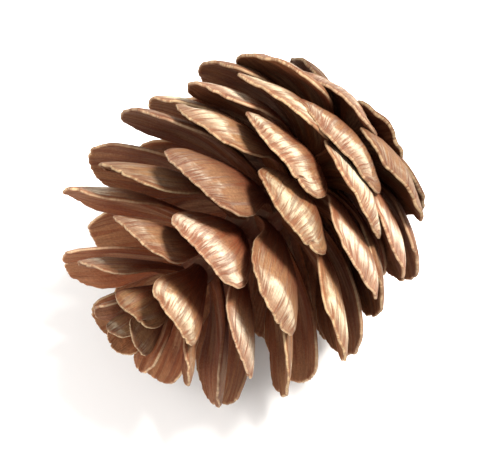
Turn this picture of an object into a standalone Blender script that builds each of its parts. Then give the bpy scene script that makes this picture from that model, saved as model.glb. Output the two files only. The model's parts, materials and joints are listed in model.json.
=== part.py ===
"""A small open spruce cone with its stub of stalk, lying on its side on three low scale tips.

The cone grew as one piece, so it is one solid: a woody axis with thin, cupped scales set round it
on a golden-angle spiral. It is shaped upright along +Z, with the stalk below the origin and the
apex above it, and is then laid down with the apex towards -Y.
"""

import math
import random

import bmesh
import bpy
from mathutils import Matrix, Vector

MM = 0.001

# Driving sizes of the cone
SCALE_COUNT = 67
GOLDEN_ANGLE = math.radians(-137.508)

# Values at even shares of the way along the spiral, from the lowest scale to the last
ROOT_HEIGHTS = [x * MM for x in (0.3, 1.2, 2.4, 3.9, 5.7, 8.1, 11.0, 14.7, 17.4)]
TIP_HEIGHTS = [x * MM for x in (-1.4, 1.6, 4.3, 7.0, 10.1, 13.5, 16.9, 20.0, 21.6)]
TIP_RADII = [x * MM for x in (5.7, 9.0, 10.1, 10.8, 11.3, 11.0, 9.8, 6.0, 0.9)]
BENDS = [math.radians(x) for x in (73, 79, 70, 62, 57, 50, 36, 15, 6)]
HALF_WIDTHS = [x * MM for x in (2.4, 4.0, 3.9, 3.8, 3.6, 3.4, 3.1, 2.2, 1.2)]
CUP_RADII = [x * MM for x in (5.8, 8.2, 8.6, 8.3, 7.7, 6.7, 5.1, 3.2, 2.2)]

# A scale's blade: share of its length, share of its half width, thickness
BLADE_ROWS = (
    (0.00, 0.26, 0.98 * MM),
    (0.35, 0.54, 0.90 * MM),
    (0.62, 0.93, 0.80 * MM),
    (0.85, 0.96, 0.72 * MM),
    (1.00, 0.52, 0.68 * MM),
)
BLADE_COLUMNS = (-1.0, -0.52, 0.0, 0.52, 1.0)
ROOT_DEPTH = 0.45
TIP_ROUNDING = 0.04

# How far one scale strays from the rule
SEED = 929
AZIMUTH_STRAY = math.radians(3.0)
SPREAD_STRAY = math.radians(3.5)
REACH_STRAY = 0.05
WIDTH_STRAY = 0.06
TWIST_STRAY = math.radians(7.0)
RIM_STRAY = 0.06

# Height on the axis, radius and sideways bow of the woody axis and its stalk
AXIS_RINGS = [
    (height * MM, radius * MM, bow * MM)
    for height, radius, bow in (
        (-3.10, 0.80, -0.50),
        (-2.85, 1.08, -0.44),
        (-2.30, 0.96, -0.30),
        (-1.20, 0.80, -0.08),
        (-0.20, 1.10, 0.00),
        (1.20, 1.70, 0.00),
        (6.00, 1.85, 0.00),
        (11.0, 1.45, 0.00),
        (15.5, 0.95, 0.00),
        (19.0, 0.55, 0.00),
    )
]
AXIS_SIDES = 12

# The way it lies, found by letting the shape settle on its lowest tips
ROLL = math.radians(203.0)
PITCH = math.radians(90.5)
FLAT_DEPTH = 0.26 * MM
CUT_TOLERANCE = 1e-7

WOOD_COLOUR = (0.36, 0.19, 0.09, 1.0)
WOOD_ROUGHNESS = 0.72
CREASE_ANGLE = math.radians(40)


def along(values, share):
    """The value at a share of the way, on a smooth curve through evenly spaced values."""
    place = share * (len(values) - 1)
    low = min(int(place), len(values) - 2)
    f = place - low
    before = values[max(low - 1, 0)]
    here = values[low]
    after = values[low + 1]
    later = values[min(low + 2, len(values) - 1)]
    square = 2 * before - 5 * here + 4 * after - later
    cube = 3 * (here - after) + later - before
    return here + 0.5 * f * (after - before + f * (square + f * cube))


def stray(index, salt):
    """A number from -1 to 1, the same on every run for the same seed, scale and salt."""
    return random.Random(f"{SEED} {index} {salt}").uniform(-1, 1)


def axis_radius(height):
    """The radius of the woody axis at a height."""
    for (low, low_radius, _), (high, high_radius, _) in zip(AXIS_RINGS, AXIS_RINGS[1:]):
        if height <= high:
            f = (height - low) / (high - low)
            return low_radius + f * (high_radius - low_radius)
    return AXIS_RINGS[-1][1]


def scale_rule(index):
    """Everything that places and shapes one scale of the spiral."""
    share = index / (SCALE_COUNT - 1)
    root_height = along(ROOT_HEIGHTS, share)
    root_radius = ROOT_DEPTH * axis_radius(root_height)
    outwards = along(TIP_RADII, share) - root_radius
    upwards = along(TIP_HEIGHTS, share) - root_height
    chord = math.hypot(outwards, upwards) * (1 + REACH_STRAY * stray(index, 2))
    spread = math.atan2(outwards, upwards) + SPREAD_STRAY * stray(index, 1)
    bend = along(BENDS, share)
    return {
        "azimuth": index * GOLDEN_ANGLE + AZIMUTH_STRAY * stray(index, 3),
        "root_radius": root_radius,
        "root_height": root_height,
        "bend": bend,
        "root_angle": spread + bend / 2,
        "length": chord * (bend / 2) / math.sin(bend / 2),
        "half_width": along(HALF_WIDTHS, share) * (1 + WIDTH_STRAY * stray(index, 4)),
        "cup_radius": along(CUP_RADII, share),
        "twist": TWIST_STRAY * stray(index, 5),
    }


def on_scale(rule, down, across, lift):
    """The point at a share down the blade, a distance across it and a lift off its middle.

    The midline is an arc that leaves the axis at root_angle and turns up towards the apex. The
    blade is cupped round the midline, hollow on the apex side, and twists a little on its way out.
    """
    angle = rule["root_angle"] - rule["bend"] * down
    arc = rule["length"] / rule["bend"]
    radius = rule["root_radius"] + arc * (math.cos(angle) - math.cos(rule["root_angle"]))
    height = rule["root_height"] + arc * (math.sin(rule["root_angle"]) - math.sin(angle))
    cup = across / rule["cup_radius"]
    sideways = rule["cup_radius"] * math.sin(cup) - lift * math.sin(cup)
    rise = rule["cup_radius"] * (1 - math.cos(cup)) + lift * math.cos(cup)
    twist = rule["twist"] * down
    turned = sideways * math.cos(twist) - rise * math.sin(twist)
    rise = sideways * math.sin(twist) + rise * math.cos(twist)
    radius -= rise * math.cos(angle)
    height += rise * math.sin(angle)
    point = Vector((radius, turned, height))
    return Matrix.Rotation(rule["azimuth"], 3, "Z") @ point


def scale_mesh(index):
    """One scale as a closed blade, both faces split into triangles the same way."""
    rule = scale_rule(index)
    bm = bmesh.new()
    sheets = []
    for side in (-1, 1):
        sheet = []
        for row, (down, width, thickness) in enumerate(BLADE_ROWS):
            line = []
            for column, across in enumerate(BLADE_COLUMNS):
                ragged = 1 + RIM_STRAY * stray(index, 10 * row + column + 10) * (row > 1)
                reach = across * width * rule["half_width"] * ragged
                out = down * (1 - TIP_ROUNDING * across * across * (row == len(BLADE_ROWS) - 1))
                line.append(bm.verts.new(on_scale(rule, out, reach, side * thickness / 2)))
            sheet.append(line)
        sheets.append(sheet)
    under, over = sheets
    last_row, last_column = len(BLADE_ROWS) - 1, len(BLADE_COLUMNS) - 1
    for row in range(last_row):
        for column in range(last_column):
            for sheet, turn in ((under, 1), (over, -1)):
                a, b = sheet[row][column], sheet[row][column + 1]
                c, d = sheet[row + 1][column + 1], sheet[row + 1][column]
                bm.faces.new((a, b, c)[::turn])
                bm.faces.new((a, c, d)[::turn])
    rim = [(0, column) for column in range(last_column)]
    rim += [(row, last_column) for row in range(last_row)]
    rim += [(last_row, column) for column in range(last_column, 0, -1)]
    rim += [(row, 0) for row in range(last_row, 0, -1)]
    for (r0, c0), (r1, c1) in zip(rim, rim[1:] + rim[:1]):
        bm.faces.new((under[r1][c1], under[r0][c0], over[r0][c0], over[r1][c1]))
    bmesh.ops.recalc_face_normals(bm, faces=bm.faces)
    mesh = bpy.data.meshes.new(f"scale_{index:02d}")
    bm.to_mesh(mesh)
    bm.free()
    return mesh


def axis_mesh():
    """The stalk, the woody axis and its pointed end, as one closed turned shape."""
    bm = bmesh.new()
    rings = []
    for height, radius, bow in AXIS_RINGS:
        ring = []
        for side in range(AXIS_SIDES):
            turn = 2 * math.pi * side / AXIS_SIDES
            place = (bow + radius * math.cos(turn), radius * math.sin(turn), height)
            ring.append(bm.verts.new(place))
        rings.append(ring)
    for low, high in zip(rings, rings[1:]):
        for side in range(AXIS_SIDES):
            after = (side + 1) % AXIS_SIDES
            bm.faces.new((low[side], low[after], high[after], high[side]))
    bm.faces.new(rings[0][::-1])
    bm.faces.new(rings[-1])
    mesh = bpy.data.meshes.new("axis")
    bm.to_mesh(mesh)
    bm.free()
    return mesh


def wood_material():
    """Dry brown cone wood."""
    material = bpy.data.materials.new("cone_wood")
    material.use_nodes = True
    shader = material.node_tree.nodes["Principled BSDF"]
    shader.inputs["Base Color"].default_value = WOOD_COLOUR
    shader.inputs["Roughness"].default_value = WOOD_ROUGHNESS
    shader.inputs["Metallic"].default_value = 0.0
    return material


def grown():
    """The mesh of the upright axis with every scale grown onto it."""
    scales = bpy.data.collections.new("scales")
    bpy.context.scene.collection.children.link(scales)
    for index in range(SCALE_COUNT):
        scales.objects.link(bpy.data.objects.new(f"scale_{index:02d}", scale_mesh(index)))
    axis = bpy.data.objects.new("axis", axis_mesh())
    bpy.context.scene.collection.objects.link(axis)
    union = axis.modifiers.new("grow_together", "BOOLEAN")
    union.operation = "UNION"
    union.operand_type = "COLLECTION"
    union.collection = scales
    union.solver = "MANIFOLD"
    graph = bpy.context.evaluated_depsgraph_get()
    mesh = bpy.data.meshes.new_from_object(axis.evaluated_get(graph))
    for helper in [axis, *scales.objects]:
        bpy.data.objects.remove(helper)
    bpy.data.collections.remove(scales)
    return mesh


def without_pockets(mesh):
    """Fills the pockets sealed in among crowded roots, by keeping only the largest shell."""
    bm = bmesh.new()
    bm.from_mesh(mesh)
    shells, seen = [], set()
    for start in bm.verts:
        if start in seen:
            continue
        shell, front = {start}, [start]
        while front:
            for edge in front.pop().link_edges:
                for vert in edge.verts:
                    if vert not in shell:
                        shell.add(vert)
                        front.append(vert)
        seen |= shell
        shells.append(shell)
    largest = max(shells, key=len)
    bmesh.ops.delete(bm, geom=[v for v in bm.verts if v not in largest])
    bm.to_mesh(mesh)
    bm.free()


def laid_down(mesh):
    """Turns the upright cone onto its side, apex towards -Y, and cuts its lowest tips flat on the floor."""
    mesh.transform(Matrix.Rotation(PITCH, 4, "X") @ Matrix.Rotation(ROLL, 4, "Z"))
    lowest = min(v.co.z for v in mesh.vertices)
    mesh.transform(Matrix.Translation((0, 0, -lowest - FLAT_DEPTH)))
    bm = bmesh.new()
    bm.from_mesh(mesh)
    everything = list(bm.verts) + list(bm.edges) + list(bm.faces)
    bmesh.ops.bisect_plane(
        bm, geom=everything, dist=CUT_TOLERANCE, plane_co=(0, 0, 0), plane_no=(0, 0, 1), clear_inner=True
    )
    bmesh.ops.holes_fill(bm, edges=[e for e in bm.edges if e.is_boundary])
    bm.to_mesh(mesh)
    bm.free()
    for direction in (0, 1):
        places = [v.co[direction] for v in mesh.vertices]
        shift = Vector((0, 0, 0))
        shift[direction] = -(min(places) + max(places)) / 2
        mesh.transform(Matrix.Translation(shift))


def build():
    for obj in list(bpy.data.objects):
        bpy.data.objects.remove(obj)
    mesh = grown()
    without_pockets(mesh)
    laid_down(mesh)
    mesh.name = "cone"
    mesh.materials.clear()
    mesh.materials.append(wood_material())
    mesh.shade_smooth()
    mesh.set_sharp_from_angle(angle=CREASE_ANGLE)
    cone = bpy.data.objects.new("cone", mesh)
    bpy.context.scene.collection.objects.link(cone)


build()
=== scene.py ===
"""The looks of a small open spruce cone that lies on its side.

The scales repeat the rule of the solid that they stand for: a golden-angle spiral up a woody axis.
Each scale is a detailed flat blade, which a node tree sets on its point of the spiral and bends
along an arc. The cone is shaped upright along +Z and then laid down, apex towards -Y.
"""

import json
import math
import random

import bmesh
import bpy
from mathutils import Matrix, Quaternion, Vector, noise

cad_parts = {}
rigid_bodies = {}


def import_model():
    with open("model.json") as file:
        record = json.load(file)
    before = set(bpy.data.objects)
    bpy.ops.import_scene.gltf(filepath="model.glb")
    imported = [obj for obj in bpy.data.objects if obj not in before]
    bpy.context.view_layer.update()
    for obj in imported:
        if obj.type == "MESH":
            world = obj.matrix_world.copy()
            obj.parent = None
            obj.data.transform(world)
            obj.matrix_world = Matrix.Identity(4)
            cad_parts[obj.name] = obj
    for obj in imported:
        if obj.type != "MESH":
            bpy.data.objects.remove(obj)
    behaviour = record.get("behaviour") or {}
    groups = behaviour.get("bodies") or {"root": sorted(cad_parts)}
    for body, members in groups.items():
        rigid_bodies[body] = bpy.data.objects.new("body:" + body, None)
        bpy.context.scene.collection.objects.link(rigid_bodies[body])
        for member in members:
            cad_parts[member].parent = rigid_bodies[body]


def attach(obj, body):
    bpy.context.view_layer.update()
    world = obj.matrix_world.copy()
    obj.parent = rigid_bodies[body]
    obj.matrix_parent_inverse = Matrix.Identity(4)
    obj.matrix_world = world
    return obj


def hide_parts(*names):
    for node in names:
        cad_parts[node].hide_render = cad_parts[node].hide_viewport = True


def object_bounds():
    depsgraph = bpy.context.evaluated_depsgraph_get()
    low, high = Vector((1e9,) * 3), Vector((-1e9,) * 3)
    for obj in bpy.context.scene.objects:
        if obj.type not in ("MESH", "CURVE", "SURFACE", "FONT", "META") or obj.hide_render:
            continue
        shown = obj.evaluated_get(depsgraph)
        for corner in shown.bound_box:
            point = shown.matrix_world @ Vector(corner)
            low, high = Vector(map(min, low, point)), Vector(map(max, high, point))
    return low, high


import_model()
CAD_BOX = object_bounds()

bl_info = {
    "name": "Spruce Cone",
    "version": (1, 0, 0),
    "blender": (4, 5, 0),
    "location": "View3D > Sidebar > Cone",
    "description": "Dresses an open spruce cone with detailed scales, stalk and studio",
    "category": "Object",
}

MM = 0.001

# What every piece stands for, and the body that it moves with
NODE = "cone"
BODY = "root"

# The spiral of the full scales, and the small scales round the foot of the stalk
SEED = 929
SCALE_COUNT = 67
BASAL_COUNT = 16
GOLDEN_ANGLE = math.radians(-137.508)

# How far a dry scale warps out of its smooth shape at its tip, how often in a metre, and how it grows
WARP_HEIGHT = 0.38 * MM
WARP_FREQUENCY = 210.0
WARP_GROWTH = 1.5

# Values at even shares of the way along the spiral, from the lowest scale to the last
ROOT_HEIGHTS = [x * MM for x in (0.3, 1.2, 2.4, 3.9, 5.7, 8.1, 11.0, 14.7, 17.4)]
TIP_HEIGHTS = [x * MM for x in (-1.4, 1.6, 4.3, 7.0, 10.1, 13.5, 16.9, 20.0, 21.6)]
TIP_RADII = [x * MM for x in (5.7, 9.0, 10.1, 10.8, 11.3, 11.0, 9.8, 6.0, 0.9)]
BENDS = [math.radians(x) for x in (73, 79, 70, 62, 57, 50, 36, 15, 6)]
HALF_WIDTHS = [x * MM for x in (2.4, 4.0, 3.9, 3.8, 3.6, 3.4, 3.1, 2.2, 1.2)]
CUP_RADII = [x * MM for x in (5.8, 8.2, 8.6, 8.3, 7.7, 6.7, 5.1, 3.2, 2.2)]

# Where a scale's root sits, as a share of the axis' radius, and how much thinner the last scale is
ROOT_DEPTH = 0.45
APEX_THINNING = 0.25

# How far one scale strays from the rule
AZIMUTH_STRAY = math.radians(3.0)
SPREAD_STRAY = math.radians(3.5)
REACH_STRAY = 0.05
WIDTH_STRAY = 0.06
TWIST_STRAY = math.radians(7.0)

# One salt for each thing that strays, so that each gets a random draw of its own
SCALE_SALTS = range(1, 8)
BASAL_SALTS = range(31, 37)

# How much browner the scales next to the stalk are, on a tone from 0 to 1, and how far up that goes
BASE_BROWNING = 0.70
BROWN_REACH = 0.25

# The small basal scales, from the one next to the full scales to the last, close to the stalk
BASAL_HEIGHTS = (0.25 * MM, -0.75 * MM)
BASAL_BENDS = (math.radians(46), math.radians(36))
BASAL_LENGTHS = (4.4 * MM, 2.1 * MM)
BASAL_HALF_WIDTHS = (1.7 * MM, 1.0 * MM)
BASAL_THICKNESSES = (0.62, 0.48)
BASAL_ROOT_ANGLE = math.radians(118)
BASAL_CUP_RADIUS = 2.2 * MM
BASAL_AZIMUTH_STRAY = 2 * AZIMUTH_STRAY
BASAL_ANGLE_STRAY = math.radians(8)
BASAL_LENGTH_STRAY = 0.35 * MM
BASAL_TONE = 0.35
BASAL_SERIAL = 100.0

# How far apart the scales, and the seeds, lie in the noise of the wood, in metres
SERIAL_SPACING = 0.0137
SEED_SPACING = 0.001

# Height on the axis, radius and sideways bow of the woody axis and its stalk
AXIS_RINGS = [
    (height * MM, radius * MM, bow * MM)
    for height, radius, bow in (
        (-3.10, 0.80, -0.50),
        (-2.85, 1.08, -0.44),
        (-2.30, 0.96, -0.30),
        (-1.20, 0.80, -0.08),
        (-0.20, 1.10, 0.00),
        (1.20, 1.70, 0.00),
        (6.00, 1.85, 0.00),
        (11.0, 1.45, 0.00),
        (15.5, 0.95, 0.00),
        (19.0, 0.55, 0.00),
    )
]

# The way it lies, the shift that brings it over the origin, how far below the floor its lowest tips
# would then be, and up to which height they give way to it
ROLL = math.radians(203.0)
PITCH = math.radians(90.5)
SHIFT = Vector((-0.127, 9.278, 11.193)) * MM
SETTLE_DEPTH = 0.33 * MM
SETTLE_REACH = 0.60 * MM

# The flat blade: its grid, which is closer near the rim, and its shape from the root to the tip
BLADE_VARIANTS = 8
COLUMNS = 44
ROWS = 28
COLUMN_CROWDING = 0.86
ROW_CROWDING = 1.35
WIDTH_SHARES = (0.26, 0.34, 0.44, 0.58, 0.76, 0.93, 0.99, 0.97, 0.84)
CORE_SHARES = (1.35, 1.22, 1.10, 1.00, 0.88, 0.74, 0.58)
TIP_DROP = 0.12
TIP_ROUNDNESS = 2.6
CROSS_ROUNDNESS = 2.4

# The size of scale at which the teeth, the notches and the rounding of the rim are true to size, and
# the turns from the middle of the rim at which the strips that round it off meet
TYPICAL_HALF_WIDTH = 4.1 * MM
TYPICAL_LENGTH = 11.0 * MM
RIM_STEPS = (math.radians(-30), math.radians(30))


class ConeSizes(bpy.types.PropertyGroup):
    """Sizes that a user may change."""

    scale_count: bpy.props.IntProperty(
        name="Scales", description="Number of scales on the spiral",
        default=SCALE_COUNT, min=20, max=90,
    )
    seed: bpy.props.IntProperty(
        name="Seed", description="Picks how each scale strays from the rule", default=SEED
    )
    golden_angle: bpy.props.FloatProperty(
        name="Golden Angle", description="Turn from one scale to the next",
        default=GOLDEN_ANGLE, subtype="ANGLE", unit="ROTATION",
    )
    core_thickness: bpy.props.FloatProperty(
        name="Blade Thickness", description="Thickness of a scale along its middle",
        default=0.74 * MM, subtype="DISTANCE", unit="LENGTH", precision=5,
    )
    rim_thickness: bpy.props.FloatProperty(
        name="Rim Thickness", description="Thickness of a scale at its rim",
        default=0.30 * MM, subtype="DISTANCE", unit="LENGTH", precision=5,
    )
    rib_height: bpy.props.FloatProperty(
        name="Rib Height", description="Height of the fine ribs that fan out over a scale",
        default=0.078 * MM, subtype="DISTANCE", unit="LENGTH", precision=6,
    )
    rim_tooth: bpy.props.FloatProperty(
        name="Rim Teeth", description="Depth of the small teeth gnawed into a scale's rim",
        default=0.13 * MM, subtype="DISTANCE", unit="LENGTH", precision=5,
    )
    warp_height: bpy.props.FloatProperty(
        name="Warp", description="How far a dry scale warps out of its smooth shape",
        default=WARP_HEIGHT, subtype="DISTANCE", unit="LENGTH", precision=5,
    )
    basal_count: bpy.props.IntProperty(
        name="Basal Scales", description="Number of small scales round the stalk",
        default=BASAL_COUNT, min=0, max=30,
    )


class ConeColours(bpy.types.PropertyGroup):
    """Colours that a user may change."""

    # The tan of the tip is partly painted highlight
    tan: bpy.props.FloatVectorProperty(
        name="Weathered Face", description="Exposed tip of a scale's outer face",
        default=(0.52, 0.44, 0.335), size=3, subtype="COLOR", min=0, max=1,
    )
    # On the outer face below the tan tip, the russet is partly painted shade
    russet: bpy.props.FloatVectorProperty(
        name="Russet Face", description="Patches and streaks on the outer face",
        default=(0.23, 0.116, 0.058), size=3, subtype="COLOR", min=0, max=1,
    )
    # In a scale's covered part the umber is the wood's own darker colour and partly painted shade
    umber: bpy.props.FloatVectorProperty(
        name="Covered Face", description="The part of a scale that its neighbours cover",
        default=(0.095, 0.019, 0.005), size=3, subtype="COLOR", min=0, max=1,
    )
    bleached: bpy.props.FloatVectorProperty(
        name="Bleached Fibres", description="Grey fibres that the weather has bared on the outer face",
        default=(0.56, 0.50, 0.41), size=3, subtype="COLOR", min=0, max=1,
    )
    inner: bpy.props.FloatVectorProperty(
        name="Inner Face", description="The hollow face towards the apex",
        default=(0.155, 0.040, 0.012), size=3, subtype="COLOR", min=0, max=1,
    )
    wing: bpy.props.FloatVectorProperty(
        name="Wing Marks", description="Pale prints that the seed wings left on the inner face",
        default=(0.22, 0.100, 0.050), size=3, subtype="COLOR", min=0, max=1,
    )
    # The dark margin is partly painted shade that parts each scale from its neighbours
    margin: bpy.props.FloatVectorProperty(
        name="Margin", description="The dark margin of the outer face",
        default=(0.16, 0.064, 0.030), size=3, subtype="COLOR", min=0, max=1,
    )
    edge: bpy.props.FloatVectorProperty(
        name="Edge", description="The thin, worn, pale edge between a scale's two faces",
        default=(0.35, 0.235, 0.145), size=3, subtype="COLOR", min=0, max=1,
    )
    bark: bpy.props.FloatVectorProperty(
        name="Bark", description="The stalk and the woody axis",
        default=(0.095, 0.042, 0.022), size=3, subtype="COLOR", min=0, max=1,
    )
    pith: bpy.props.FloatVectorProperty(
        name="Broken Wood", description="The torn end of the stalk",
        default=(0.40, 0.24, 0.13), size=3, subtype="COLOR", min=0, max=1,
    )
    floor: bpy.props.FloatVectorProperty(
        name="Floor", description="The plain pale floor",
        default=(0.90, 0.89, 0.88), size=3, subtype="COLOR", min=0, max=1,
    )


def along(values, share):
    """The value at a share of the way, on a smooth curve through evenly spaced values."""
    place = share * (len(values) - 1)
    low = min(int(place), len(values) - 2)
    part = place - low
    before = values[max(low - 1, 0)]
    here = values[low]
    after = values[low + 1]
    later = values[min(low + 2, len(values) - 1)]
    square = 2 * before - 5 * here + 4 * after - later
    cube = 3 * (here - after) + later - before
    return here + 0.5 * part * (after - before + part * (square + part * cube))


def smooth_step(low, high, value):
    """0 below low, 1 above high, and a smooth rise between them."""
    share = min(max((value - low) / (high - low), 0.0), 1.0)
    return share * share * (3 - 2 * share)


def wave(*place):
    """Smooth noise from -1 to 1 at a place of three numbers."""
    return noise.noise(Vector(place))


def strays(seed, index, salts):
    """One number from -1 to 1 for each salt, the same on every run for the same seed and scale."""
    return [random.Random(f"{seed} {index} {salt}").uniform(-1, 1) for salt in salts]


def between(ends, share):
    """The value at a share of the way from the first end to the second."""
    return ends[0] + share * (ends[1] - ends[0])


def axis_profile(height):
    """The radius and sideways bow of the woody axis at a height."""
    for (low, low_radius, low_bow), (high, high_radius, high_bow) in zip(AXIS_RINGS, AXIS_RINGS[1:]):
        if height <= high:
            share = (height - low) / (high - low)
            return between((low_radius, high_radius), share), between((low_bow, high_bow), share)
    return AXIS_RINGS[-1][1:]


def scale_rule(sizes, index):
    """Everything that places and shapes one scale of the spiral."""
    share = index / (sizes.scale_count - 1)
    spread, reach, azimuth, width, twist, tone, blush = strays(sizes.seed, index, SCALE_SALTS)
    root_height = along(ROOT_HEIGHTS, share)
    root_radius = ROOT_DEPTH * axis_profile(root_height)[0]
    outwards = along(TIP_RADII, share) - root_radius
    upwards = along(TIP_HEIGHTS, share) - root_height
    chord = math.hypot(outwards, upwards) * (1 + REACH_STRAY * reach)
    lean = math.atan2(outwards, upwards) + SPREAD_STRAY * spread
    bend = along(BENDS, share)
    browning = BASE_BROWNING * (1 - smooth_step(0.0, BROWN_REACH, share))
    return {
        "azimuth": index * sizes.golden_angle + AZIMUTH_STRAY * azimuth,
        "root_radius": root_radius,
        "root_height": root_height,
        "bend": bend,
        "root_angle": lean + bend / 2,
        "length": chord * (bend / 2) / math.sin(bend / 2),
        "half_width": along(HALF_WIDTHS, share) * (1 + WIDTH_STRAY * width),
        "cup_radius": along(CUP_RADII, share),
        "twist": TWIST_STRAY * twist,
        "thickness": 1.0 - APEX_THINNING * share,
        "tone": (1 + tone) / 2 - browning,
        "blush": (1 + blush) / 2,
        "serial": float(index),
    }


def basal_rule(sizes, index):
    """One of the small scales that sit round the foot of the stalk, below the first full scale."""
    share = index / max(sizes.basal_count - 1, 1)
    azimuth, angle, length, twist, tone, blush = strays(sizes.seed, index, BASAL_SALTS)
    height = between(BASAL_HEIGHTS, share)
    return {
        "azimuth": -(index + 1) * sizes.golden_angle + BASAL_AZIMUTH_STRAY * azimuth,
        "root_radius": ROOT_DEPTH * axis_profile(height)[0],
        "root_height": height,
        "bend": between(BASAL_BENDS, share),
        "root_angle": BASAL_ROOT_ANGLE + BASAL_ANGLE_STRAY * angle,
        "length": between(BASAL_LENGTHS, share) + BASAL_LENGTH_STRAY * length,
        "half_width": between(BASAL_HALF_WIDTHS, share),
        "cup_radius": BASAL_CUP_RADIUS,
        "twist": TWIST_STRAY * twist,
        "thickness": between(BASAL_THICKNESSES, share),
        "tone": BASAL_TONE * (1 + tone),
        "blush": (1 + blush) / 2,
        "serial": BASAL_SERIAL + index,
    }


class Field:
    """A number in a node tree, so that formulas on it are written with the usual signs."""

    def __init__(self, tree, socket):
        self.tree = tree
        self.socket = socket

    def math(self, operation, *others):
        """A Math node on this number and the others."""
        node = self.tree.nodes.new("ShaderNodeMath")
        node.operation = operation
        for slot, value in enumerate((self, *others)):
            if isinstance(value, Field):
                self.tree.links.new(value.socket, node.inputs[slot])
            else:
                node.inputs[slot].default_value = value
        return Field(self.tree, node.outputs[0])

    def __add__(self, other):
        return self.math("ADD", other)

    def __sub__(self, other):
        return self.math("SUBTRACT", other)

    def __mul__(self, other):
        return self.math("MULTIPLY", other)

    def __truediv__(self, other):
        return self.math("DIVIDE", other)

    def sin(self):
        return self.math("SINE")

    def cos(self):
        return self.math("COSINE")

    def power(self, exponent):
        return self.math("POWER", exponent)

    def span(self, low, high):
        """The field stretched from 0 to 1 onto low to high."""
        return self * (high - low) + low

    def step(self, low, high):
        """0 below low, 1 above high, with a smooth rise between them."""
        node = self.tree.nodes.new("ShaderNodeMapRange")
        node.interpolation_type = "SMOOTHSTEP"
        node.inputs["From Min"].default_value = low
        node.inputs["From Max"].default_value = high
        self.tree.links.new(self.socket, node.inputs["Value"])
        return Field(self.tree, node.outputs["Result"])


def joined(tree, *parts):
    """The vector socket of three numbers, each a Field or a plain number."""
    node = tree.nodes.new("ShaderNodeCombineXYZ")
    for slot, part in enumerate(parts):
        if isinstance(part, Field):
            tree.links.new(part.socket, node.inputs[slot])
        else:
            node.inputs[slot].default_value = part
    return node.outputs[0]


def split(tree, socket):
    """The three numbers of a vector socket."""
    node = tree.nodes.new("ShaderNodeSeparateXYZ")
    tree.links.new(socket, node.inputs[0])
    return [Field(tree, output) for output in node.outputs]


def stretched(tree, socket, size):
    """A vector socket times three numbers."""
    node = tree.nodes.new("ShaderNodeVectorMath")
    node.operation = "MULTIPLY"
    node.inputs[1].default_value = size
    tree.links.new(socket, node.inputs[0])
    return node.outputs[0]


def smooth_noise(tree, place, rate, detail=3.0, roughness=0.6):
    """Noise from 0 to 1 at a vector socket, at one rate in a metre or one for each direction."""
    node = tree.nodes.new("ShaderNodeTexNoise")
    if isinstance(rate, tuple):
        place = stretched(tree, place, rate)
        rate = 1.0
    if isinstance(rate, Field):
        tree.links.new(rate.socket, node.inputs["Scale"])
    else:
        node.inputs["Scale"].default_value = rate
    node.inputs["Detail"].default_value = detail
    node.inputs["Roughness"].default_value = roughness
    tree.links.new(place, node.inputs["Vector"])
    return Field(tree, node.outputs[0])


def rule_field(tree, name, kind="FLOAT"):
    """A number or vector that the blades, or the points they stand on, carry."""
    node = tree.nodes.new("GeometryNodeInputNamedAttribute")
    node.data_type = kind
    node.inputs["Name"].default_value = name
    return Field(tree, node.outputs["Attribute"])


def bent_place(tree, warp_height, warp_rate, seed):
    """The place of a blade's point, bent along its arc, cupped, twisted and turned to its azimuth.

    It follows the formula of the solid. The second result is the point's place on the flat blade in
    metres, with a number of the scale's own, which the wood grain follows.
    """
    across_share, down, lift = split(tree, rule_field(tree, "blank", "FLOAT_VECTOR").socket)
    root_angle = rule_field(tree, "root_angle")
    bend = rule_field(tree, "bend")
    length = rule_field(tree, "length")
    cup_radius = rule_field(tree, "cup_radius")
    serial = rule_field(tree, "serial")
    half_width = rule_field(tree, "half_width")
    across = across_share * half_width
    fanned = rule_field(tree, "fan") * half_width
    grain = joined(tree, fanned, down * length, serial * SERIAL_SPACING + seed * SEED_SPACING)
    bulge = smooth_noise(tree, grain, warp_rate, detail=1.0, roughness=0.5).span(-1.0, 1.0)
    lift = lift * rule_field(tree, "thickness") + bulge * warp_height * down.power(WARP_GROWTH)
    angle = root_angle - bend * down
    arc = length / bend
    radius = rule_field(tree, "root_radius") + arc * (angle.cos() - root_angle.cos())
    height = rule_field(tree, "root_height") + arc * (root_angle.sin() - angle.sin())
    cup = across / cup_radius
    sideways = cup_radius * cup.sin() - lift * cup.sin()
    rise = cup_radius - cup_radius * cup.cos() + lift * cup.cos()
    twist = rule_field(tree, "twist") * down
    turned = sideways * twist.cos() - rise * twist.sin()
    risen = sideways * twist.sin() + rise * twist.cos()
    radius = radius - risen * angle.cos()
    height = height + risen * angle.sin()
    azimuth = rule_field(tree, "azimuth")
    east = radius * azimuth.cos() - turned * azimuth.sin()
    north = radius * azimuth.sin() + turned * azimuth.cos()
    return joined(tree, east, north, height), grain


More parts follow.
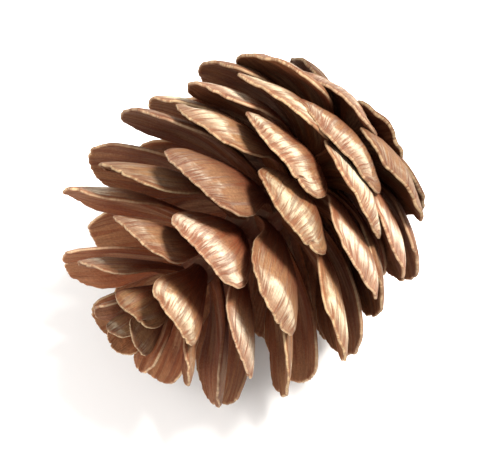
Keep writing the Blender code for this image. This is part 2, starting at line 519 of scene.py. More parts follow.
def growth_tree():
    """The node tree that sets a blade on every point of the spiral and bends it by the rule."""
    tree = bpy.data.node_groups.new("blade_growth", "GeometryNodeTree")
    sockets = (
        ("Geometry", "NodeSocketGeometry", None),
        ("Blades", "NodeSocketCollection", None),
        ("Warp Height", "NodeSocketFloat", WARP_HEIGHT),
        ("Warp Frequency", "NodeSocketFloat", WARP_FREQUENCY),
        ("Seed", "NodeSocketInt", SEED),
        ("Material", "NodeSocketMaterial", None),
    )
    for name, kind, value in sockets:
        socket = tree.interface.new_socket(name, in_out="INPUT", socket_type=kind)
        if value is not None:
            socket.default_value = value
    tree.interface.new_socket("Geometry", in_out="OUTPUT", socket_type="NodeSocketGeometry")
    inputs = tree.nodes.new("NodeGroupInput").outputs
    blades = tree.nodes.new("GeometryNodeCollectionInfo")
    blades.inputs["Separate Children"].default_value = True
    blades.inputs["Reset Children"].default_value = True
    tree.links.new(inputs["Blades"], blades.inputs["Collection"])
    grow = tree.nodes.new("GeometryNodeInstanceOnPoints")
    grow.inputs["Pick Instance"].default_value = True
    tree.links.new(inputs["Geometry"], grow.inputs["Points"])
    tree.links.new(blades.outputs["Instances"], grow.inputs["Instance"])
    tree.links.new(rule_field(tree, "variant", "INT").socket, grow.inputs["Instance Index"])
    realize = tree.nodes.new("GeometryNodeRealizeInstances")
    tree.links.new(grow.outputs["Instances"], realize.inputs["Geometry"])
    place, grain = bent_place(
        tree,
        Field(tree, inputs["Warp Height"]),
        Field(tree, inputs["Warp Frequency"]),
        Field(tree, inputs["Seed"]),
    )
    keep = tree.nodes.new("GeometryNodeStoreNamedAttribute")
    keep.data_type = "FLOAT_VECTOR"
    keep.domain = "POINT"
    keep.inputs["Name"].default_value = "grain"
    tree.links.new(realize.outputs["Geometry"], keep.inputs["Geometry"])
    tree.links.new(grain, keep.inputs["Value"])
    bend = tree.nodes.new("GeometryNodeSetPosition")
    tree.links.new(keep.outputs["Geometry"], bend.inputs["Geometry"])
    tree.links.new(place, bend.inputs["Position"])
    finish = tree.nodes.new("GeometryNodeSetMaterial")
    tree.links.new(bend.outputs["Geometry"], finish.inputs["Geometry"])
    tree.links.new(inputs["Material"], finish.inputs["Material"])
    output = tree.nodes.new("NodeGroupOutput")
    tree.links.new(finish.outputs["Geometry"], output.inputs["Geometry"])
    return tree


def points_mesh(name, rules):
    """One vertex for each scale, carrying its rule as attributes."""
    mesh = bpy.data.meshes.new(name)
    mesh.from_pydata([(0, 0, 0)] * len(rules), [], [])
    for key in rules[0]:
        layer = mesh.attributes.new(key, "FLOAT", "POINT")
        layer.data.foreach_set("value", [rule[key] for rule in rules])
    layer = mesh.attributes.new("variant", "INT", "POINT")
    picks = [random.Random(f"blade {rule['serial']}").randrange(BLADE_VARIANTS) for rule in rules]
    layer.data.foreach_set("value", picks)
    return mesh


# How one blade differs from the next: its place in the noise, the curl and tilt of its tip, and its
# notches by number, place across, depth and width. Curl, tilt and depth are in millimetres
LOBE_RANGE = (0, 50)
CURL_RANGE = (-0.10, 0.22)
TILT_RANGE = (-0.16, 0.16)
NOTCH_COUNTS = (0, 1, 1, 2)
NOTCH_PLACES = (-0.70, 0.70)
NOTCH_DEPTHS = (0.15, 0.50)
NOTCH_WIDTHS = (0.04, 0.07)

# Teeth of the rim and waves of the cover line: how often they come, and their place in the noise
SMALL_TEETH = (19.0, 3.1)
LARGE_TEETH = (4.3, 7.7)
COVER_WAVES = (2.5, 41.0)

# Waves of the blade: how often they come across it and down it, and their place in the noise
RIPPLES = (1.7, 1.4, 11.0)
FLUTTERS = (4.1, 2.0, 23.0)
BROAD_RIBS = (5.5, 1.3, 0.0)
NARROW_RIBS = (12.0, 1.9, 5.0)
OUTER_SHIFT = 61.0
INNER_SHIFT = 83.0

# How strong each of them is, and how far the rim flares and the free part swells
SMALL_TOOTH = 0.75
COVER_WAVE = 0.04
BROAD_RIB = 0.7
NARROW_RIB = 0.6
COVERED_RIB = 0.55
INNER_RIB = 0.6
RIPPLE_HEIGHT = 0.30 * MM
FLUTTER_HEIGHT = 0.10 * MM
FLARE_HEIGHT = 0.20 * MM
SWELL_HEIGHT = 0.06 * MM

# Shares of the way down the blade between which something sets in or fades out
TEETH_DOWN = (0.30, 0.60)
NOTCHES_DOWN = (0.86, 1.0)
THINNING_DOWN = (0.72, 1.0)
SAG_DOWN = (0.35, 1.0)
RIBS_DOWN = (0.05, 0.3)
RIM_DOWN = (0.25, 0.45)
RIDGE_DOWN = (0.45, 0.80)

# Shares of the way out to the rim between which something sets in or fades out
TEETH_OUT = (0.80, 1.0)
FLUTTER_OUT = (0.6, 1.0)
FLARE_OUT = (0.74, 1.05)
SMOOTH_OUT = (0.90, 1.0)

# The line down to which the neighbours cover a scale, and the steps past it to the free part
COVER_SHARE = 0.80
COVER_ARCH = 0.12
FREE_SWELLING = (-0.12, 0.08)
# The colouring step marks the covered part, which the material darkens partly as painted shade
FREE_COLOURING = (-0.16, 0.07)

# Which way the rim faces: the share down about which it turns, and its slope across and down
RIM_CENTRE = 0.55
RIM_SLOPES = (1.1, 2.4)

# The inner face: centre and reach of each wing print and seed hollow, across and down, and the ridge
WING_CENTRE = (0.40, 0.45)
WING_REACH = 0.30
WING_SPLAY = 0.04
WING_EDGE = (0.72, 1.0)
WING_DEPTH = 0.07 * MM
SEED_CENTRE = (0.40, 0.21)
SEED_REACH = (0.20, 0.055)
SEED_DEPTH = 0.22 * MM
RIDGE_REACH = 0.10
RIDGE_HEIGHT = 0.10 * MM


def rimward(v, u):
    """The share of the way out to the rim at a place across and down the blade."""
    return max(abs(v), u)


class Blade:
    """One flat blade in shares of its half width and length, with its lift off the middle in metres.

    On its grid, v runs across from -1 to 1 and u runs down from 0 at the root to 1 at the tip.
    """

    def __init__(self, sizes, variant):
        self.sizes = sizes
        self.variant = variant
        rng = random.Random(f"{sizes.seed} blade {variant}")
        self.lobes = rng.uniform(*LOBE_RANGE)
        self.curl = rng.uniform(*CURL_RANGE) * MM
        self.tilt = rng.uniform(*TILT_RANGE) * MM
        self.notches = [
            (rng.uniform(*NOTCH_PLACES), rng.uniform(*NOTCH_DEPTHS) * MM, rng.uniform(*NOTCH_WIDTHS))
            for _ in range(rng.choice(NOTCH_COUNTS))
        ]

    def line_waves(self, place, pattern):
        """Smooth noise along a line, -1 to 1."""
        rate, depth = pattern
        return wave(place * rate, self.lobes, depth)

    def face_waves(self, v, u, pattern, shift=0.0):
        """Smooth noise over the blade, -1 to 1."""
        across, down, place = pattern
        return wave(v * across, u * down, self.lobes + shift + place)

    def tooth(self, turn):
        """How far the rim is gnawed back at a place round it, in metres."""
        small = SMALL_TOOTH * self.line_waves(turn, SMALL_TEETH)
        return self.sizes.rim_tooth * (small + self.line_waves(turn, LARGE_TEETH))

    def outline(self, v, u):
        """Share across and share down of the grid's point, with the rim's teeth and notches."""
        width = along(WIDTH_SHARES, u)
        x = v * width
        y = u - TIP_DROP * u**3 * abs(v) ** TIP_ROUNDNESS
        turn = v if u >= abs(v) else math.copysign(2 - u, v)
        gnawed = self.tooth(turn) * smooth_step(*TEETH_OUT, rimward(v, u)) * smooth_step(*TEETH_DOWN, u)
        for centre, depth, spread in self.notches:
            gnawed += depth * math.exp(-(((v - centre) / spread) ** 2)) * smooth_step(*NOTCHES_DOWN, u)
        out = Vector((x * RIM_SLOPES[0], max(y - RIM_CENTRE, 0.0) * RIM_SLOPES[1])).normalized()
        return x - out.x * gnawed / TYPICAL_HALF_WIDTH, y - out.y * gnawed / TYPICAL_LENGTH

    def thickness(self, v, u):
        """Full thickness, from a stout middle to a thin rim."""
        core = self.sizes.core_thickness * along(CORE_SHARES, u)
        fullness = (1 - abs(v) ** CROSS_ROUNDNESS) * (1 - smooth_step(*THINNING_DOWN, u))
        return self.sizes.rim_thickness + (core - self.sizes.rim_thickness) * fullness

    def sag(self, v, u):
        """The bend of the whole blade out of its plane: curled tip, tilted and waved rim."""
        ripple = RIPPLE_HEIGHT * self.face_waves(v, u, RIPPLES)
        flutter = FLUTTER_HEIGHT * self.face_waves(v, u, FLUTTERS) * smooth_step(*FLUTTER_OUT, rimward(v, u))
        flare = FLARE_HEIGHT * smooth_step(*FLARE_OUT, rimward(v, u))
        bent = self.curl * u * u + self.tilt * v + ripple + flutter - flare
        return bent * smooth_step(*SAG_DOWN, u)

    def ribs(self, v, u, shift):
        """Fine ribs that fan out from the root, about -1 to 1."""
        broad = BROAD_RIB * self.face_waves(v, u, BROAD_RIBS, shift)
        return broad + NARROW_RIB * self.face_waves(v, u, NARROW_RIBS, shift)

    def past_cover(self, v, u):
        """How far a place lies past the line down to which the neighbours cover the scale."""
        return u - (COVER_SHARE - COVER_ARCH * v * v + COVER_WAVE * self.line_waves(v, COVER_WAVES))

    def outer_relief(self, v, u):
        """Relief of the outer face: ribs and the slightly swollen free part."""
        free = smooth_step(*FREE_SWELLING, self.past_cover(v, u))
        grain = self.sizes.rib_height * between((COVERED_RIB, 1.0), free) * self.ribs(v, u, OUTER_SHIFT)
        return grain * smooth_step(*RIBS_DOWN, u) + SWELL_HEIGHT * free

    def wing_mark(self, v, u):
        """How far a point lies inside one of the two seed-wing prints, 0 to 1."""
        x = (abs(v) - WING_CENTRE[0] - WING_SPLAY * u) / WING_REACH
        y = (u - WING_CENTRE[1]) / WING_REACH
        return 1 - smooth_step(*WING_EDGE, math.hypot(x, y))

    def inner_relief(self, v, u):
        """Relief of the inner face: ribs, sunk wing prints, the seeds' hollows and a ridge between."""
        x = (abs(v) - SEED_CENTRE[0]) / SEED_REACH[0]
        y = (u - SEED_CENTRE[1]) / SEED_REACH[1]
        hollow = SEED_DEPTH * math.exp(-(x**2) - y**2)
        ridge = RIDGE_HEIGHT * math.exp(-((v / RIDGE_REACH) ** 2)) * (1 - smooth_step(*RIDGE_DOWN, u))
        grain = INNER_RIB * self.sizes.rib_height * self.ribs(v, u, INNER_SHIFT)
        return grain - WING_DEPTH * self.wing_mark(v, u) - hollow + ridge

    def mesh(self):
        """The closed blade, with a rounded rim, and the attributes that shape and colour it."""
        bm = bmesh.new()
        blank = bm.verts.layers.float_vector.new("blank")
        skin = bm.verts.layers.float_vector.new("skin")
        fan = bm.verts.layers.float.new("fan")

        def vertex(x, y, lift, face, edge, mark, v):
            vert = bm.verts.new((x * TYPICAL_HALF_WIDTH, y * TYPICAL_LENGTH, lift))
            vert[blank] = (x, y, lift)
            vert[skin] = (face, edge, mark)
            vert[fan] = v
            return vert

        rows = [1 - (1 - row / ROWS) ** ROW_CROWDING for row in range(ROWS + 1)]
        arc = math.pi * COLUMN_CROWDING
        columns = [
            math.sin((column / COLUMNS - 0.5) * arc) / math.sin(arc / 2) for column in range(COLUMNS + 1)
        ]
        sheets = {-1: [], 1: []}
        for u in rows:
            lines = {-1: [], 1: []}
            for v in columns:
                x, y = self.outline(v, u)
                half = self.thickness(v, u) / 2
                sag = self.sag(v, u)
                edge = rimward(v * smooth_step(*RIM_DOWN, u), u)
                free = smooth_step(*FREE_COLOURING, self.past_cover(v, u))
                rough = 1 - smooth_step(*SMOOTH_OUT, rimward(v, u))
                out = half + self.outer_relief(v, u) * rough
                hollow = half + self.inner_relief(v, u) * rough
                lines[-1].append(vertex(x, y, sag - out, -1, edge, free, v))
                lines[1].append(vertex(x, y, sag + hollow, 1, edge, self.wing_mark(v, u), v))
            for face in (-1, 1):
                sheets[face].append(lines[face])
        self.skin_sheets(bm, sheets)
        self.round_rim(bm, sheets, vertex, columns)
        # The bend mirrors the blade, so its faces point inwards here and outwards once it is bent
        bmesh.ops.recalc_face_normals(bm, faces=bm.faces)
        bmesh.ops.reverse_faces(bm, faces=bm.faces)
        mesh = bpy.data.meshes.new(f"blade_{self.variant}")
        bm.to_mesh(mesh)
        bm.free()
        return mesh

    def skin_sheets(self, bm, sheets):
        """The faces of both sheets."""
        for face, sheet in sheets.items():
            for row in range(ROWS):
                for column in range(COLUMNS):
                    corners = (
                        sheet[row][column],
                        sheet[row][column + 1],
                        sheet[row + 1][column + 1],
                        sheet[row + 1][column],
                    )
                    bm.faces.new(corners[::face])

    def round_rim(self, bm, sheets, vertex, columns):
        """The strips that round the rim off between the two sheets."""
        path = [(0, column) for column in range(COLUMNS)]
        path += [(row, COLUMNS) for row in range(ROWS)]
        path += [(ROWS, column) for column in range(COLUMNS, 0, -1)]
        path += [(row, 0) for row in range(ROWS, 0, -1)]
        under = [sheets[-1][row][column] for row, column in path]
        over = [sheets[1][row][column] for row, column in path]
        loops = [under]
        for turn in RIM_STEPS:
            loop = []
            for place, (row, column) in enumerate(path):
                before, after = under[place - 1].co, under[(place + 1) % len(path)].co
                forwards = (after - before).to_2d().normalized()
                outwards = Vector((forwards.y, -forwards.x))
                half = (over[place].co.z - under[place].co.z) / 2
                middle = (over[place].co.z + under[place].co.z) / 2
                spot = under[place].co.to_2d() + outwards * half * math.cos(turn)
                x, y = spot.x / TYPICAL_HALF_WIDTH, spot.y / TYPICAL_LENGTH
                lift = middle + half * math.sin(turn)
                loop.append(vertex(x, y, lift, math.sin(turn), 1.0, 0.0, columns[column]))
            loops.append(loop)
        loops.append(over)
        for low, high in zip(loops, loops[1:]):
            for place in range(len(path)):
                after = (place + 1) % len(path)
                bm.faces.new((low[place], low[after], high[after], high[place]))


def blade_collection(sizes):
    """The blades that the node tree picks from."""
    blades = bpy.data.collections.new("blades")
    for variant in range(BLADE_VARIANTS):
        mesh = Blade(sizes, variant).mesh()
        blades.objects.link(bpy.data.objects.new(mesh.name, mesh))
    return blades


def drop_blades(blades):
    """Removes the blades once every piece is grown from them."""
    for blade in list(blades.objects):
        bpy.data.meshes.remove(blade.data)
    bpy.data.collections.remove(blades)


def laid_down(mesh):
    """Turns an upright mesh onto its side and lets its lowest tips settle on the floor."""
    turn = Matrix.Rotation(PITCH, 4, "X") @ Matrix.Rotation(ROLL, 4, "Z")
    mesh.transform(Matrix.Translation(SHIFT) @ turn)
    for vertex in mesh.vertices:
        depth = SETTLE_REACH - vertex.co.z
        if depth > 0:
            vertex.co.z += SETTLE_DEPTH * (depth / (SETTLE_REACH + SETTLE_DEPTH)) ** 2


def on_the_cone(piece):
    """Attaches the piece to the body that it moves with, and hides the solid that it stands for."""
    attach(piece, BODY)
    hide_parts(NODE)


def fresh_object(name, data):
    """An object in the scene that takes the place of an earlier one of its name."""
    if name in bpy.data.objects:
        bpy.data.objects.remove(bpy.data.objects[name])
    made = bpy.data.objects.new(name, data)
    bpy.context.scene.collection.objects.link(made)
    return made


def grown_piece(name, rules, blades, tree, sizes, material):
    """A piece of many bent blades, as a plain mesh."""
    piece = fresh_object(name, points_mesh(name, rules))
    growth = piece.modifiers.new("growth", "NODES")
    growth.node_group = tree
    values = {
        "Blades": blades,
        "Warp Height": sizes.warp_height,
        "Seed": sizes.seed,
        "Material": material,
    }
    for item in tree.interface.items_tree:
        if item.item_type == "SOCKET" and item.in_out == "INPUT" and item.name in values:
            growth[item.identifier] = values[item.name]
    graph = bpy.context.evaluated_depsgraph_get()
    mesh = bpy.data.meshes.new_from_object(piece.evaluated_get(graph))
    if not mesh.polygons:
        raise RuntimeError(f"{name} grew no blades")
    piece.modifiers.clear()
    piece.data = mesh
    for key in [*rules[0], "variant"]:
        if key not in ("tone", "blush"):
            mesh.attributes.remove(mesh.attributes[key])
    mesh.name = name
    laid_down(mesh)
    mesh.shade_smooth()
    on_the_cone(piece)


# The grid of the stalk and axis, and the share of the solid's radius that leaves room for the bark
AXIS_SIDES = 72
AXIS_STEPS = 130
AXIS_CROWDING = 1.6
AXIS_FULLNESS = 0.96

# Furrows of the bark: how often they come round the stalk and, in a millimetre, along it
BROAD_FURROWS = (2.6, 0.35)
FINE_FURROWS = (7.0, 1.1)
BROAD_FURROW_DEPTH = 0.07 * MM
FINE_FURROW_DEPTH = 0.03 * MM

# The pegs of fallen needles on the stalk, on a spiral of their own
PEG_COUNT = 12
PEG_START = -2.60 * MM
PEG_RISE = 0.22 * MM
PEG_HEIGHT = 0.10 * MM
PEG_WIDTH = 0.24 * MM
PEG_LENGTH = 0.30 * MM
STALK_RADIUS = 0.9 * MM

# The torn end of the stalk: share of its radius and how far it is sunk, and how ragged it is
TORN_RINGS = ((0.12, 0.22 * MM), (0.4, 0.16 * MM), (0.66, 0.08 * MM), (0.86, 0.02 * MM))
TORN_HEIGHT = 0.16 * MM
TORN_WAVES = (2.2, 1.4, 5.0)


def furrows(turn, height, pattern):
    """Smooth noise round and along the stalk, -1 to 1."""
    around, lengthwise = pattern
    return wave(math.cos(turn) * around, math.sin(turn) * around, height / MM * lengthwise)


def axis_bumps(height, turn):
    """Height of the bark's relief: spiral pegs on the stalk and lengthwise furrows."""
    relief = BROAD_FURROW_DEPTH * furrows(turn, height, BROAD_FURROWS)
    relief += FINE_FURROW_DEPTH * furrows(turn, height, FINE_FURROWS)
    for number in range(PEG_COUNT):
        away = math.remainder(turn + number * GOLDEN_ANGLE, 2 * math.pi) * STALK_RADIUS
        above = height - PEG_START - PEG_RISE * number
        relief += PEG_HEIGHT * math.exp(-((away / PEG_WIDTH) ** 2) - (above / PEG_LENGTH) ** 2)
    return relief


def axis_mesh():
    """The stalk with its torn end, and the woody axis up to its pointed end."""
    low, high = AXIS_RINGS[0][0], AXIS_RINGS[-1][0]
    bm = bmesh.new()
    grain = bm.verts.layers.float_vector.new("grain")
    torn = bm.verts.layers.float.new("torn")

    def ring(height, share=1.0, sunk=0.0, tear=0.0):
        radius, bow = axis_profile(height)
        line = []
        for side in range(AXIS_SIDES):
            turn = 2 * math.pi * side / AXIS_SIDES
            reach = (radius * AXIS_FULLNESS + axis_bumps(height, turn) * (1 - tear)) * share
            ragged = wave(reach / MM * TORN_WAVES[0], turn * TORN_WAVES[1], TORN_WAVES[2])
            up = height + sunk + tear * TORN_HEIGHT * ragged
            vert = bm.verts.new((bow + reach * math.cos(turn), reach * math.sin(turn), up))
            vert[grain] = vert.co
            vert[torn] = tear
            line.append(vert)
        return line

    rings = [ring(low, share, sunk, tear=1.0) for share, sunk in TORN_RINGS]
    for step in range(AXIS_STEPS + 1):
        crowded = (step / AXIS_STEPS) ** AXIS_CROWDING
        rings.append(ring(between((low, high), crowded)))
    for before, after in zip(rings, rings[1:]):
        for side in range(AXIS_SIDES):
            other = (side + 1) % AXIS_SIDES
            bm.faces.new((before[side], before[other], after[other], after[side]))
    for line, turn in ((rings[0], -1), (rings[-1], 1)):
        middle = bm.verts.new(sum((v.co for v in line), Vector()) / AXIS_SIDES)
        middle[grain] = line[0][grain]
        middle[torn] = line[0][torn]
        for side in range(AXIS_SIDES):
            bm.faces.new((line[side], line[(side + 1) % AXIS_SIDES], middle)[::turn])
    bmesh.ops.recalc_face_normals(bm, faces=bm.faces)
    mesh = bpy.data.meshes.new("woody_axis")
    bm.to_mesh(mesh)
    bm.free()
    return mesh


# The colour sockets of a Mix node, which has several by each name
MIX_FIRST = 6
MIX_SECOND = 7
MIX_RESULT = 2

# How often the noises of the wood come in a metre: across the fibres, along them, and between scales
FIBRE_RATES = (6400, 420, 1000)
STREAK_RATES = (2300, 190, 1000)
FURROW_RATES = (1600, 1600, 420)
PATCH_RATE = 480.0
SPECK_RATE = 5200.0
CRUMB_RATE = 3800.0
FIBRE_CONTRAST = (0.30, 0.70)
SPECK_CONTRAST = (0.34, 0.66)

# Outer face: where russet takes over from umber, and how tip, tone and streaks make it pale and grey.
# The paleness towards the tip is partly painted highlight and the russet below it partly painted shade
# Umber in the covered part is the wood's own darker colour and partly painted shade between scales
RUSSET_FADE = (0.40, 0.95)
TONE_PALENESS = 0.40
TIP_PALENESS = 1.60
PALE_FADE = (1.94, 2.20)
TIP_BLEACHING = 0.25
BLEACHED_FADE = (0.66, 0.90)
BLEACHED_STRENGTH = 0.45

# Its dark margin, which is partly painted shade that parts each scale from its neighbours, and the
# worn edge between the faces, which the root end doesn't have. Fibres and patches fray both
MARGIN_FIBRES = 0.06
MARGIN_PATCHES = 0.10
MARGIN_FADE = (0.93, 1.06)
MARGIN_STRENGTH = 0.85
EDGE_FIBRES = 0.30
EDGE_PATCHES = 0.60
EDGE_FADE = (-0.26, 0.24)
EDGE_REACH = (0.35, 0.80)

# Inner face: its browner tip, its fibrous wing prints, and how far round the edge it reaches
INNER_TIP_FADE = (0.55, 1.0)
INNER_TIP_STRENGTH = 0.60
WING_FIBRES = (0.5, 1.0)
FACE_FADE = (-0.35, 0.35)

# Dark cracks, and the light and tints that fibres, specks and each scale's own tone and blush give
CRACK_FIBRES = 0.26
CRACK_STREAKS = 1.1
CRACK_FADE = (0.63, 0.82)
CRACK_STRENGTH = 0.62
PINKER = (1.02, 0.99, 0.97)
YELLOWER = (1.00, 1.015, 0.89)
TONE_LIGHT = (0.77, 1.21)
FIBRE_LIGHT = (0.80, 1.14)
SPECK_LIGHT = (0.86, 1.08)

# How matt the scales are, and how high each part of the grain stands
SCALE_ROUGHNESS = 0.66
FIBRE_ROUGHNESS = 0.12
PATCH_ROUGHNESS = 0.20
SCALE_GLOSS = 0.18
BUMP_DISTANCE = 0.12 * MM
FIBRE_BUMP = 0.35
STREAK_BUMP = 0.9
SPECK_BUMP = 0.14

# The bark of the stalk
BARK_FADE = (0.35, 0.70)
CRUMB_FADE = (0.55, 0.75)
CRUMB_STRENGTH = 0.5
CRUMB_LIGHT = (0.7, 1.3)
TORN_FADE = (0.2, 0.9)
BARK_ROUGHNESS = 0.62
CRUMB_ROUGHNESS = 0.25
CRUMB_BUMP = 0.4
BARK_GLOSS = 0.3


def blank_material(name, gloss):
    """A material, its node tree and its Principled shader, with a reflection level of its own."""
    if name in bpy.data.materials:
        bpy.data.materials.remove(bpy.data.materials[name])
    material = bpy.data.materials.new(name)
    material.use_nodes = True
    tree = material.node_tree
    shader = next(node for node in tree.nodes if node.type == "BSDF_PRINCIPLED")
    shader.inputs["Specular IOR Level"].default_value = gloss
    return material, tree, shader


def carried(tree, name):
    """The vector socket of an attribute that the mesh carries."""
    node = tree.nodes.new("ShaderNodeAttribute")
    node.attribute_name = name
    return node.outputs["Vector"]


def carried_number(tree, name):
    """The number of an attribute that the mesh carries."""
    node = tree.nodes.new("ShaderNodeAttribute")
    node.attribute_name = name
    return Field(tree, node.outputs["Fac"])


def blended(tree, share, first, second, how="MIX"):
    """A colour socket between two colours, each a socket or three numbers."""
    node = tree.nodes.new("ShaderNodeMix")
    node.data_type = "RGBA"
    node.blend_type = how
    for slot, colour in ((MIX_FIRST, first), (MIX_SECOND, second)):
        if isinstance(colour, bpy.types.NodeSocket):
            tree.links.new(colour, node.inputs[slot])
        else:
            node.inputs[slot].default_value = (*colour, 1.0)
    if isinstance(share, Field):
        tree.links.new(share.socket, node.inputs[0])
    else:
        node.inputs[0].default_value = share
    return node.outputs[MIX_RESULT]


def brightened(tree, colour, amount):
    """A colour socket times a number."""
    node = tree.nodes.new("ShaderNodeVectorMath")
    node.operation = "SCALE"
    tree.links.new(colour, node.inputs[0])
    tree.links.new(amount.socket, node.inputs["Scale"])
    return node.outputs[0]


def raised(tree, shader, height):
    """Bumps the shader's surface by a height field."""
    bump = tree.nodes.new("ShaderNodeBump")
    bump.inputs["Distance"].default_value = BUMP_DISTANCE
    tree.links.new(height.socket, bump.inputs["Height"])
    tree.links.new(bump.outputs[0], shader.inputs["Normal"])


def scale_material(colours):
    """Dry scale wood.

    The outer face is tan at its free tip and russet below, with grey fibres, and dark where it was
    covered and at its margin. The tan tip is partly painted highlight, and the russet below it, the
    dark covered part and the dark margin are partly painted shade. The inner face is dark with paler
    wing prints. The thin edge is pale.
    """
    material, tree, shader = blank_material("scale_wood", SCALE_GLOSS)
    face, edge, mark = split(tree, carried(tree, "skin"))
    _, down, _ = split(tree, carried(tree, "blank"))
    grain = carried(tree, "grain")
    tone = carried_number(tree, "tone")
    blush = carried_number(tree, "blush")
    fibres = smooth_noise(tree, grain, FIBRE_RATES).step(*FIBRE_CONTRAST)
    streaks = smooth_noise(tree, grain, STREAK_RATES, roughness=0.55)
    patches = smooth_noise(tree, grain, PATCH_RATE, detail=5.0)
    specks = smooth_noise(tree, grain, SPECK_RATE).step(*SPECK_CONTRAST)

    # The covered part, umber deep down and russet further out, is partly painted shade between scales
    covered_and_shaded = blended(tree, down.step(*RUSSET_FADE), colours.umber, colours.russet)
    # Paler towards the tip: the tan tip is partly painted highlight, the russet below partly painted shade
    paleness = (patches + tone * TONE_PALENESS + down * TIP_PALENESS).step(*PALE_FADE)
    tip_colour_and_highlight = blended(tree, paleness, colours.russet, colours.tan)
    bleaching = (streaks + down * TIP_BLEACHING).step(*BLEACHED_FADE) * BLEACHED_STRENGTH
    weathered = blended(tree, bleaching, tip_colour_and_highlight, colours.bleached)
    outer = blended(tree, mark, covered_and_shaded, weathered)
    # The dark margin along the outer face's rim is partly painted shade
    frayed = edge + fibres * MARGIN_FIBRES + patches * MARGIN_PATCHES
    outer = blended(tree, frayed.step(*MARGIN_FADE) * MARGIN_STRENGTH, outer, colours.margin)

    bare = blended(tree, down.step(*INNER_TIP_FADE) * INNER_TIP_STRENGTH, colours.inner, colours.russet)
    inner = blended(tree, mark * fibres.span(*WING_FIBRES), bare, colours.wing)
    both = blended(tree, face.step(*FACE_FADE), outer, inner)
    worn = (fibres * EDGE_FIBRES + patches * EDGE_PATCHES - face * face).step(*EDGE_FADE)
    both = blended(tree, worn * down.step(*EDGE_REACH), both, colours.edge)

    cracks = (fibres * CRACK_FIBRES + streaks * CRACK_STREAKS).step(*CRACK_FADE)
    lined = blended(tree, cracks * CRACK_STRENGTH, both, colours.umber)
    tinted = blended(tree, 1.0, lined, blended(tree, blush, PINKER, YELLOWER), "MULTIPLY")
    light = tone.span(*TONE_LIGHT) * fibres.span(*FIBRE_LIGHT) * specks.span(*SPECK_LIGHT)
    tree.links.new(brightened(tree, tinted, light), shader.inputs["Base Color"])
    rough = patches * PATCH_ROUGHNESS + fibres * FIBRE_ROUGHNESS + SCALE_ROUGHNESS
    tree.links.new(rough.socket, shader.inputs["Roughness"])
    raised(tree, shader, fibres * FIBRE_BUMP + streaks * STREAK_BUMP + specks * SPECK_BUMP)
    return material


def bark_material(colours):
    """Rough dark bark on the stalk, with paler torn wood at its end."""
    material, tree, shader = blank_material("stalk_bark", BARK_GLOSS)
    grain = carried(tree, "grain")
    torn = carried_number(tree, "torn")
    rifts = smooth_noise(tree, grain, FURROW_RATES, detail=4.0)
    crumbs = smooth_noise(tree, grain, CRUMB_RATE)
    bark = blended(tree, rifts.step(*BARK_FADE), colours.umber, colours.bark)
    bark = blended(tree, crumbs.step(*CRUMB_FADE) * CRUMB_STRENGTH, bark, colours.russet)
    colour = blended(tree, torn.step(*TORN_FADE), bark, colours.pith)
    tree.links.new(brightened(tree, colour, crumbs.span(*CRUMB_LIGHT)), shader.inputs["Base Color"])
    rough = crumbs * CRUMB_ROUGHNESS + BARK_ROUGHNESS
    tree.links.new(rough.socket, shader.inputs["Roughness"])
    raised(tree, shader, rifts + crumbs * CRUMB_BUMP)
    return material


# The floor: how far it reaches from the middle, how far it lies below the cone, and its finish, with
# mottles that come so often in a metre and are so much darker
FLOOR_REACH = 1.5
FLOOR_DROP = 0.01 * MM
FLOOR_ROUGHNESS = 0.9
FLOOR_GLOSS = 0.1
MOTTLE_RATE = 30.0
MOTTLE_SHADE = 0.985

# Lights and camera: azimuth and elevation in degrees, and distance in metres
KEY_PLACE = (160, 72, 0.60)
KEY_SIZE = 0.12
KEY_WATTS = 10.2
KEY_COLOUR = (1.0, 0.97, 0.93)
FILL_PLACE = (-20, 50, 0.80)
FILL_SIZE = 0.60
FILL_WATTS = 4.8
FILL_COLOUR = (1.0, 0.98, 0.96)
SKY_COLOUR = (1.0, 0.99, 0.98, 1.0)
SKY_STRENGTH = 0.8
CAMERA_PLACE = (31.8, 67.3, 0.235)
CAMERA_ROLL = 14.7
CAMERA_LENS = 250
CAMERA_NEAR = 0.01


def floor_material(colours):
    """A plain matt pale floor with the faintest mottling."""
    material, tree, shader = blank_material("pale_floor", FLOOR_GLOSS)
    place = tree.nodes.new("ShaderNodeTexCoord").outputs["Object"]
    mottling = smooth_noise(tree, place, MOTTLE_RATE, roughness=0.5)
    darker = [MOTTLE_SHADE * value for value in colours.floor]
    colour = blended(tree, mottling, list(colours.floor), darker)
    tree.links.new(colour, shader.inputs["Base Color"])
    shader.inputs["Roughness"].default_value = FLOOR_ROUGHNESS
    return material


def aimed(obj, place, target, roll=0.0):
    """Sets a light or camera at its place round the target, looking at it."""
    azimuth, elevation, distance = place
    turn, tip = math.radians(azimuth), math.radians(elevation)
    back = Vector((math.sin(turn) * math.cos(tip), -math.cos(turn) * math.cos(tip), math.sin(tip)))
    facing = (-back).to_track_quat("-Z", "Y") @ Quaternion((0, 0, 1), math.radians(roll))
    obj.location = target + back * distance
    obj.rotation_euler = facing.to_euler()


def area_light(name, place, size, watts, colour, target):
    """A soft square light that is aimed at the cone and that the camera doesn't see."""
    light = bpy.data.lights.new(name, "AREA")
    light.energy = watts
    light.size = size
    light.color = colour
    obj = fresh_object(name, light)
    obj.visible_camera = False
    aimed(obj, place, target)


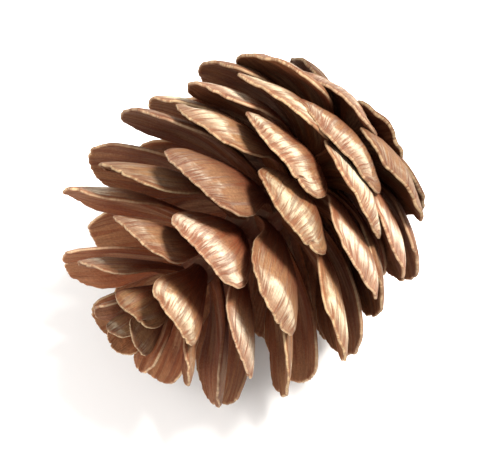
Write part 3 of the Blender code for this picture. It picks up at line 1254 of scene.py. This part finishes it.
class CONE_OT_scales(bpy.types.Operator):
    """Grow the full scales of the spiral, in a lower and an upper piece"""

    bl_idname = "cone.scales"
    bl_label = "Grow Scales"

    def execute(self, context):
        sizes = context.scene.cone_sizes
        blades = blade_collection(sizes)
        tree = growth_tree()
        material = scale_material(context.scene.cone_colours)
        rules = [scale_rule(sizes, index) for index in range(sizes.scale_count)]
        middle = len(rules) // 2
        grown_piece("scales_lower", rules[:middle], blades, tree, sizes, material)
        grown_piece("scales_upper", rules[middle:], blades, tree, sizes, material)
        if sizes.basal_count:
            basal = [basal_rule(sizes, index) for index in range(sizes.basal_count)]
            grown_piece("basal_scales", basal, blades, tree, sizes, material)
        drop_blades(blades)
        bpy.data.node_groups.remove(tree)
        return {"FINISHED"}


class CONE_OT_axis(bpy.types.Operator):
    """Make the woody axis and its stub of stalk"""

    bl_idname = "cone.axis"
    bl_label = "Make Axis and Stalk"

    def execute(self, context):
        mesh = axis_mesh()
        laid_down(mesh)
        mesh.materials.append(bark_material(context.scene.cone_colours))
        mesh.shade_smooth()
        on_the_cone(fresh_object("woody_axis", mesh))
        return {"FINISHED"}


class CONE_OT_stage(bpy.types.Operator):
    """Lay the floor and set the lights, the world and the camera"""

    bl_idname = "cone.stage"
    bl_label = "Set Stage"

    def execute(self, context):
        scene = context.scene
        low, high = CAD_BOX
        middle = (low + high) / 2
        bm = bmesh.new()
        bmesh.ops.create_grid(bm, x_segments=1, y_segments=1, size=FLOOR_REACH)
        mesh = bpy.data.meshes.new("floor")
        bm.to_mesh(mesh)
        bm.free()
        mesh.transform(Matrix.Translation((0, 0, -FLOOR_DROP)))
        mesh.materials.append(floor_material(scene.cone_colours))
        fresh_object("floor", mesh)

        area_light("key_light", KEY_PLACE, KEY_SIZE, KEY_WATTS, KEY_COLOUR, middle)
        area_light("fill_light", FILL_PLACE, FILL_SIZE, FILL_WATTS, FILL_COLOUR, middle)
        world = bpy.data.worlds.new("studio")
        world.use_nodes = True
        background = next(node for node in world.node_tree.nodes if node.type == "BACKGROUND")
        background.inputs["Color"].default_value = SKY_COLOUR
        background.inputs["Strength"].default_value = SKY_STRENGTH
        scene.world = world
        scene.view_settings.view_transform = "Standard"

        camera = bpy.data.cameras.new("camera")
        camera.lens = CAMERA_LENS
        camera.clip_start = CAMERA_NEAR
        obj = fresh_object("camera", camera)
        aimed(obj, CAMERA_PLACE, middle, CAMERA_ROLL)
        scene.camera = obj
        return {"FINISHED"}


class CONE_PT_sidebar(bpy.types.Panel):
    """Lists the pieces of the cone and what can be changed on them"""

    bl_label = "Spruce Cone"
    bl_space_type = "VIEW_3D"
    bl_region_type = "UI"
    bl_category = "Cone"

    def draw(self, context):
        for operator in OPERATORS:
            self.layout.operator(operator.bl_idname)
        for group in (context.scene.cone_sizes, context.scene.cone_colours):
            box = self.layout.box()
            for key in group.__annotations__:
                box.prop(group, key)


OPERATORS = (CONE_OT_scales, CONE_OT_axis, CONE_OT_stage)
CLASSES = (ConeSizes, ConeColours, *OPERATORS, CONE_PT_sidebar)


def register():
    for cls in CLASSES:
        bpy.utils.register_class(cls)
    bpy.types.Scene.cone_sizes = bpy.props.PointerProperty(type=ConeSizes)
    bpy.types.Scene.cone_colours = bpy.props.PointerProperty(type=ConeColours)


def unregister():
    del bpy.types.Scene.cone_colours
    del bpy.types.Scene.cone_sizes
    for cls in reversed(CLASSES):
        bpy.utils.unregister_class(cls)


def main():
    register()
    bpy.ops.cone.scales()
    bpy.ops.cone.axis()
    bpy.ops.cone.stage()


if __name__ == "__main__":
    main()
